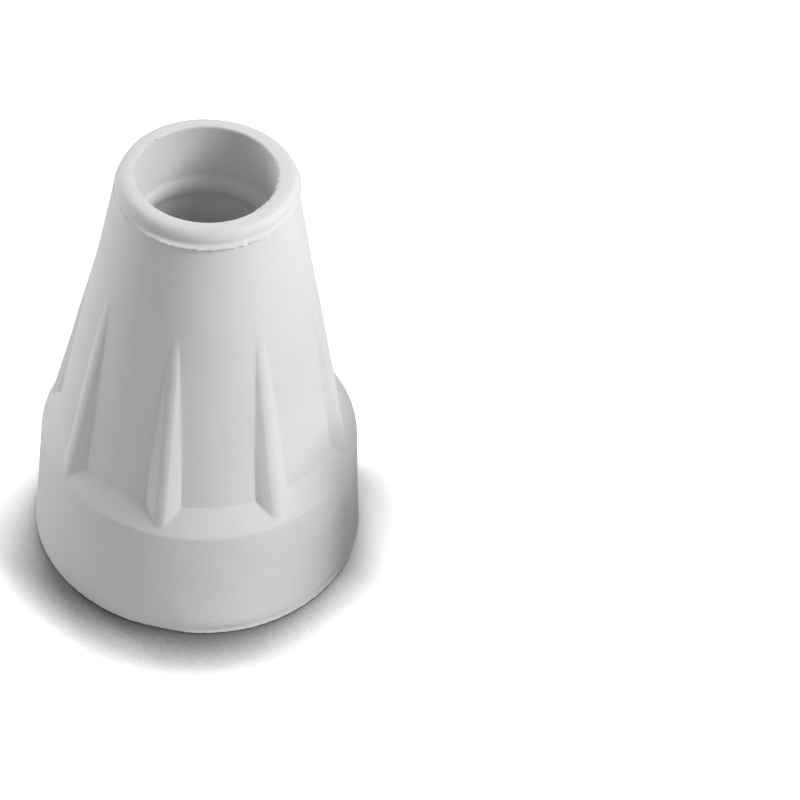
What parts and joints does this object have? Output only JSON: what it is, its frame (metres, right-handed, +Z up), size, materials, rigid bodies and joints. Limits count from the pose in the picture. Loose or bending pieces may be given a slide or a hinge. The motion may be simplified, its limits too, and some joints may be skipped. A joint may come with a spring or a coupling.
{
  "type": "rubber cane tip",
  "caption": "Tapered rubber ferrule that presses onto the end of a round cane shaft, with ribs up its sleeve and a ringed, cupped tread to stand on.",
  "frame": {"origin": "centre of the rim that the tip stands on", "axes": "+Z up the axis, out of the socket's mouth; one of the ribs points along +X"},
  "size_m": [0.0464, 0.0464, 0.065],
  "materials": {
    "rubber": "pale grey moulded rubber, matt"
  },
  "bodies": {
    "root": {"cane_tip": "rubber"}
  },
  "joints": []
}
